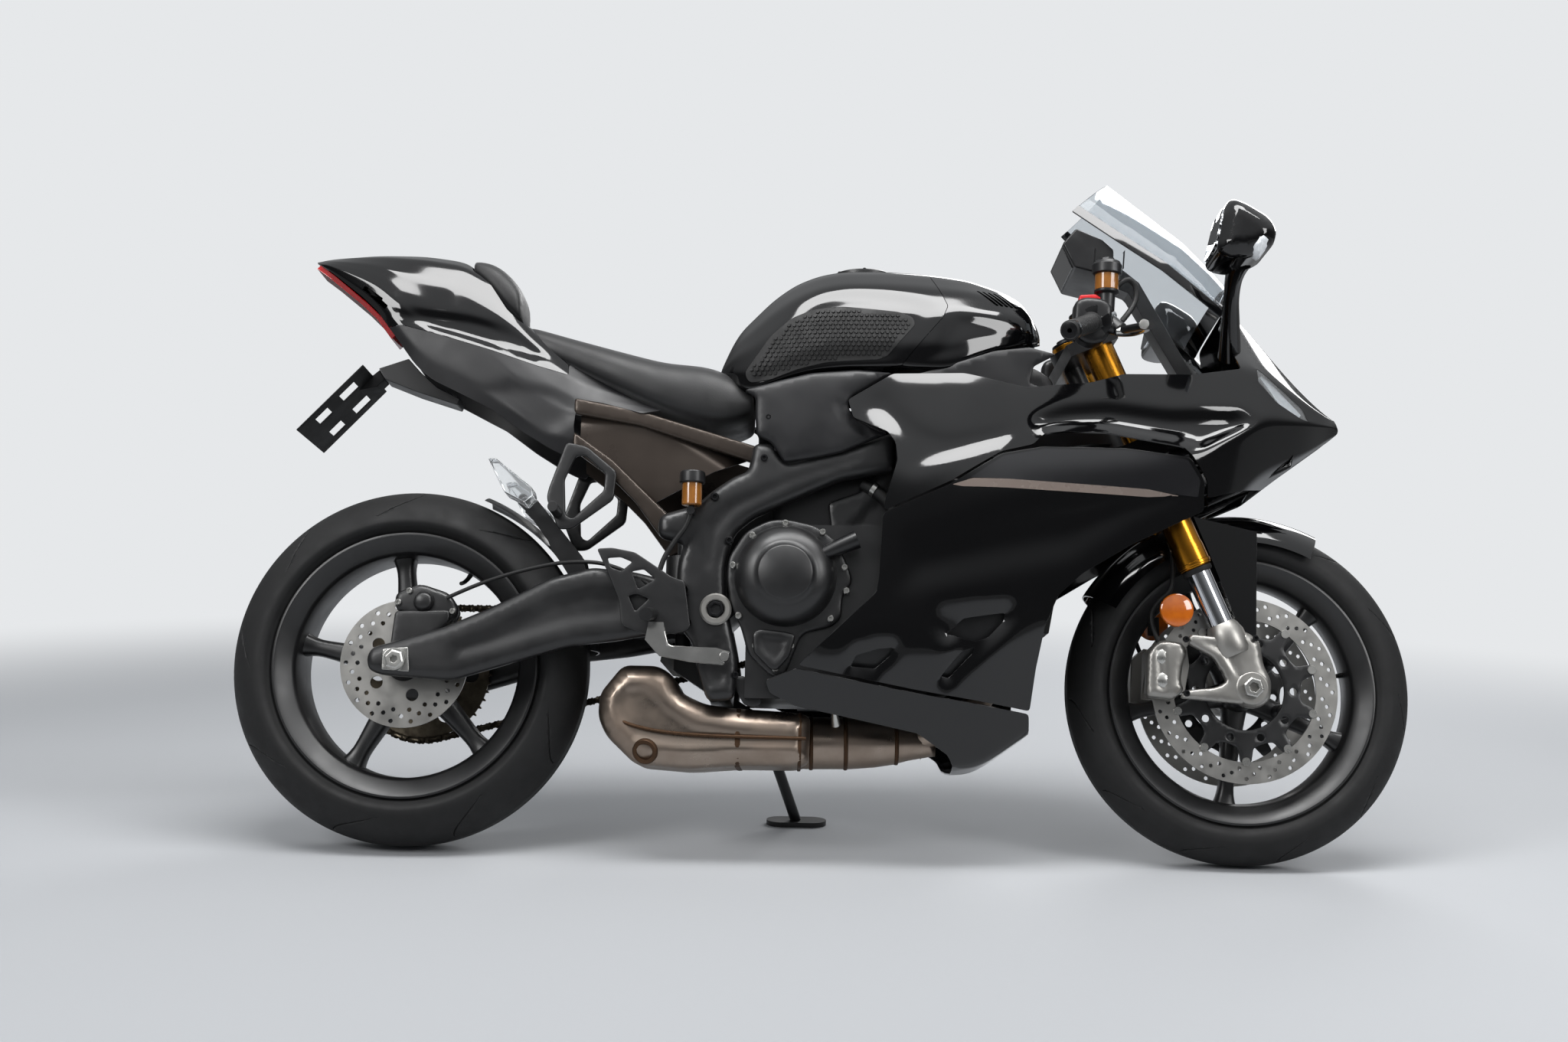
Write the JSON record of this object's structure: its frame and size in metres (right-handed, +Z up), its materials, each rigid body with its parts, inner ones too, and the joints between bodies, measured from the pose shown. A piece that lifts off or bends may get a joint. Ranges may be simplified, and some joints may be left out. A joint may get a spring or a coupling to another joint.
{
  "type": "sport motorcycle",
  "caption": "Fully faired sport motorcycle leaning on its side stand, with turning wheels, steering, folding stand and opening filler lid.",
  "frame": {"origin": "on the ground, at the centre of the parked bike's bounding box", "axes": "+X forwards, +Y to the bike's left, the side it leans to, +Z up; the bike leans 13 degrees about X onto its side stand"},
  "size_m": [2.0588, 0.7542, 1.2009],
  "materials": {
    "satin_black_metal": "satin",
    "gloss_black_paint": "gloss",
    "bronze_paint": "satin",
    "gold_anodised": "satin",
    "hard_chrome": "polished",
    "silver_cast": "satin",
    "disc_steel": "brushed",
    "tyre_rubber": "matt",
    "grip_rubber": "matt",
    "black_plastic": "matt",
    "seat_cover": "satin",
    "smoked_screen": "gloss",
    "lamp_lens": "clear",
    "red_lens": "gloss",
    "tinted_steel": "heat tinted",
    "chain_steel": "oiled",
    "core_black": "matt"
  },
  "bodies": {
    "chassis": {"belly_cowl": "gloss_black_paint", "brake_reservoir": "lamp_lens", "cowl_stay": "satin_black_metal", "drive_chain": "chain_steel", "engine": "satin_black_metal", "engine_covers": "satin_black_metal", "exhaust": "tinted_steel", "foot_levers": "silver_cast", "front_sprocket": "chain_steel", "fuel_tank": "gloss_black_paint", "headlamps": "lamp_lens", "instrument_panel": "black_plastic", "knee_panels": "black_plastic", "main_frame": "satin_black_metal", "mirrors": "gloss_black_paint", "number_plate": "black_plastic", "pillion_footrests": "satin_black_metal", "pillion_seat": "seat_cover", "plate_hanger": "black_plastic", "radiator": "core_black", "rear_axle": "silver_cast", "rear_caliper": "silver_cast", "rear_hugger": "black_plastic", "rear_indicators": "lamp_lens", "rider_footrests": "silver_cast", "rider_seat": "seat_cover", "shock_absorber": "satin_black_metal", "side_cowl_left": "gloss_black_paint", "side_cowl_right": "gloss_black_paint", "subframe": "bronze_paint", "swingarm": "satin_black_metal", "tail_cowl": "gloss_black_paint", "tail_lamp": "red_lens", "tank_cover": "black_plastic", "upper_cowl": "gloss_black_paint", "windscreen": "smoked_screen"},
    "steering": {"triple_clamps": "satin_black_metal", "fork_outer_tubes": "gold_anodised", "fork_inner_tubes": "hard_chrome", "fork_feet": "silver_cast", "front_axle": "silver_cast", "front_calipers": "silver_cast", "front_mudguard": "gloss_black_paint", "handlebars": "satin_black_metal", "grips": "grip_rubber", "hand_controls": "black_plastic"},
    "front_wheel": {"front_tyre": "tyre_rubber", "front_rim": "satin_black_metal", "front_discs": "disc_steel"},
    "rear_wheel": {"rear_tyre": "tyre_rubber", "rear_rim": "satin_black_metal", "rear_disc": "disc_steel", "rear_sprocket": "silver_cast"},
    "stand": {"side_stand": "satin_black_metal"},
    "filler_lid": {"fuel_cap": "satin_black_metal"}
  },
  "joints": [
    {"name": "steering_turn", "type": "hinge", "parent": "chassis", "child": "steering", "pos_m": [0.49075, -0.04793, 0.766], "axis": [-0.3939, 0.2068, 0.8956], "range_deg": [-24, 24]},
    {"name": "front_wheel_spin", "type": "hinge", "parent": "steering", "child": "front_wheel", "pos_m": [0.73105, -0.15692, 0.2939], "axis": [0, 0.9744, -0.225], "continuous": true},
    {"name": "rear_wheel_spin", "type": "hinge", "parent": "chassis", "child": "rear_wheel", "pos_m": [-0.71895, -0.15379, 0.30746], "axis": [0, 0.9744, -0.225], "continuous": true},
    {"name": "stand_fold", "type": "hinge", "parent": "chassis", "child": "stand", "pos_m": [-0.10095, -0.03665, 0.20139], "axis": [0.0643, 0.9161, 0.3958], "range_deg": [0, 104]},
    {"name": "filler_lid_open", "type": "hinge", "parent": "chassis", "child": "filler_lid", "pos_m": [0.11605, 0.012, 1.02557], "axis": [0, 0.9744, -0.225], "range_deg": [0, 100]}
  ]
}
